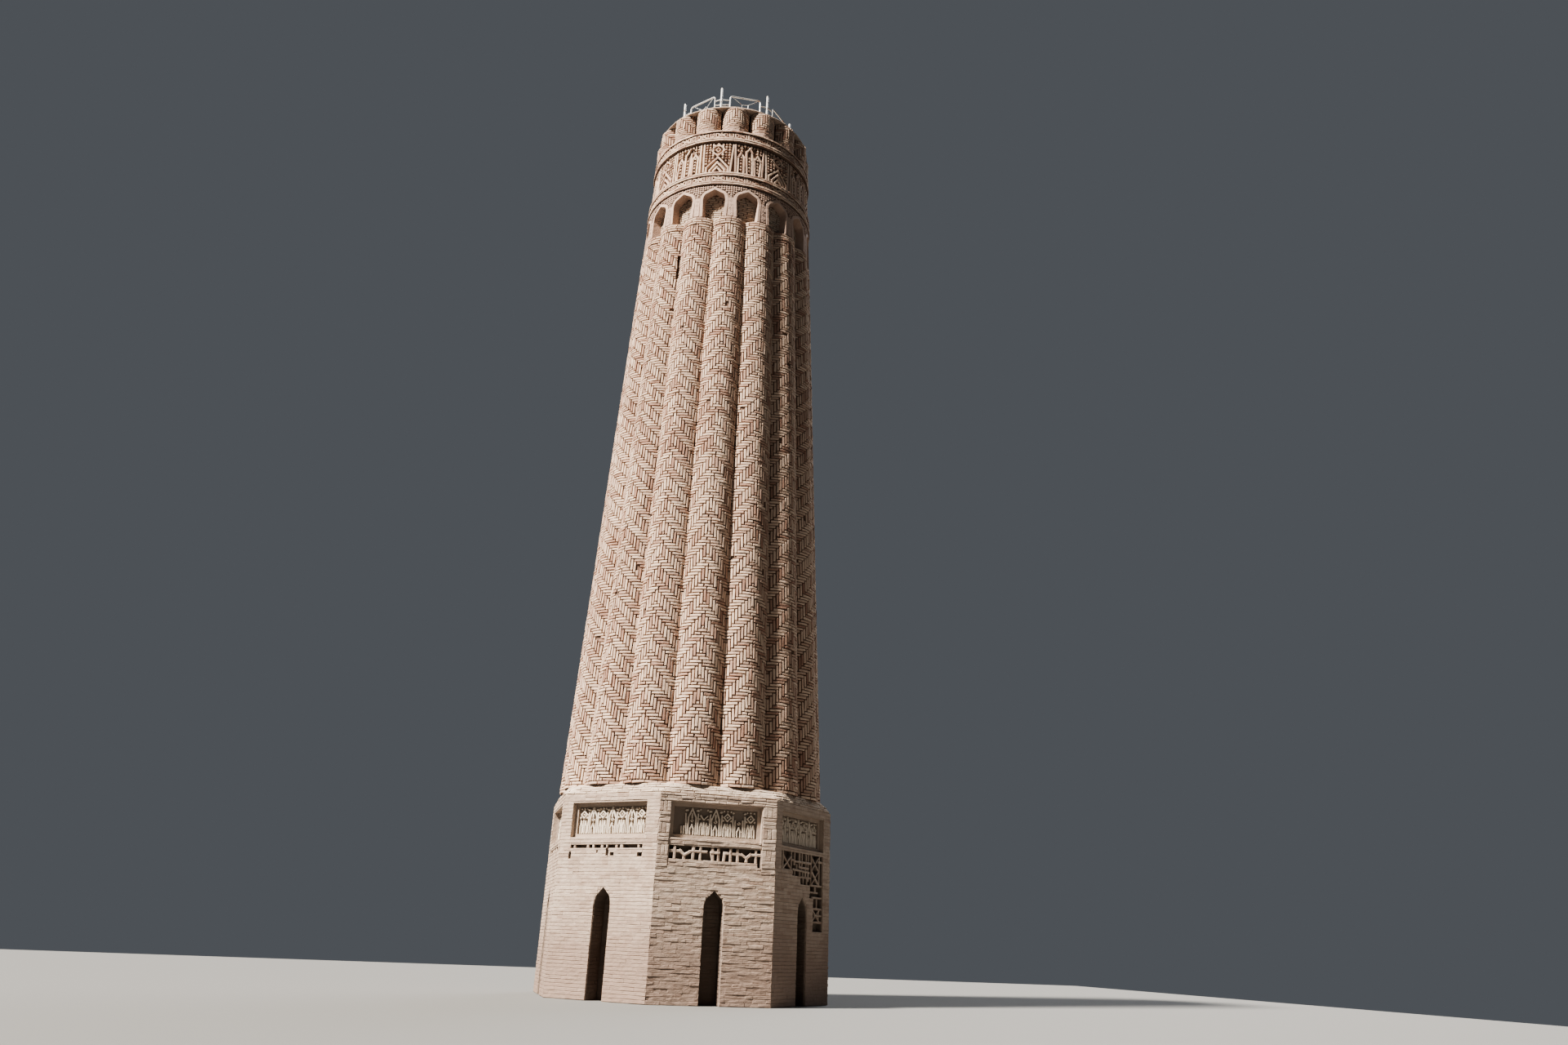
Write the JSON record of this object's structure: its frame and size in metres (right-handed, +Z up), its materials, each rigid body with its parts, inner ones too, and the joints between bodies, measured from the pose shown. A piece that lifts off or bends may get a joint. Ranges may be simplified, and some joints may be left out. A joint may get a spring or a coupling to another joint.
{
  "type": "minaret",
  "caption": "Tapering brick minaret: lobed shaft on an octagonal plinth, arched niches, banded head, flat railed roof.",
  "frame": {"origin": "centre of the plinth on the ground", "axes": "+Z up along the tower's axis; -Y faces the front face of the plinth; +X to the right of it"},
  "size_m": [5.7968, 5.7968, 22.28],
  "materials": {
    "shaft_brick": "pale pinkish-beige fired brick with deep raked joints, matt and weathered",
    "plinth_brick": "grey-beige fired brick in level courses, matt, mortar-smeared and eroded",
    "stucco": "carved plaster and terracotta relief, matt and chalky",
    "cement": "pale cement roof slab, rough and matt",
    "rail_steel": "pale grey galvanised pipe, dull sheen with rust specks"
  },
  "bodies": {
    "root": {"plinth_front": "plinth_brick", "panel_front": "stucco", "plinth_front_right": "plinth_brick", "panel_front_right": "stucco", "plinth_right": "plinth_brick", "panel_right": "stucco", "plinth_back_right": "plinth_brick", "panel_back_right": "stucco", "plinth_back": "plinth_brick", "panel_back": "stucco", "plinth_back_left": "plinth_brick", "panel_back_left": "stucco", "plinth_left": "plinth_brick", "panel_left": "stucco", "plinth_front_left": "plinth_brick", "panel_front_left": "stucco", "foot_course": "plinth_brick", "shaft_lobe_01": "shaft_brick", "shaft_lobe_02": "shaft_brick", "shaft_lobe_03": "shaft_brick", "shaft_lobe_04": "shaft_brick", "shaft_lobe_05": "shaft_brick", "shaft_lobe_06": "shaft_brick", "shaft_lobe_07": "shaft_brick", "shaft_lobe_08": "shaft_brick", "shaft_lobe_09": "shaft_brick", "shaft_lobe_10": "shaft_brick", "shaft_lobe_11": "shaft_brick", "shaft_lobe_12": "shaft_brick", "shaft_lobe_13": "shaft_brick", "shaft_lobe_14": "shaft_brick", "shaft_lobe_15": "shaft_brick", "shaft_lobe_16": "shaft_brick", "arcade_front": "shaft_brick", "arcade_right": "shaft_brick", "arcade_back": "shaft_brick", "arcade_left": "shaft_brick", "lower_band": "shaft_brick", "main_frieze": "shaft_brick", "upper_band": "shaft_brick", "column_tier": "shaft_brick", "roof_slab": "cement", "railing_front": "rail_steel", "railing_right": "rail_steel", "railing_back": "rail_steel"}
  },
  "joints": []
}
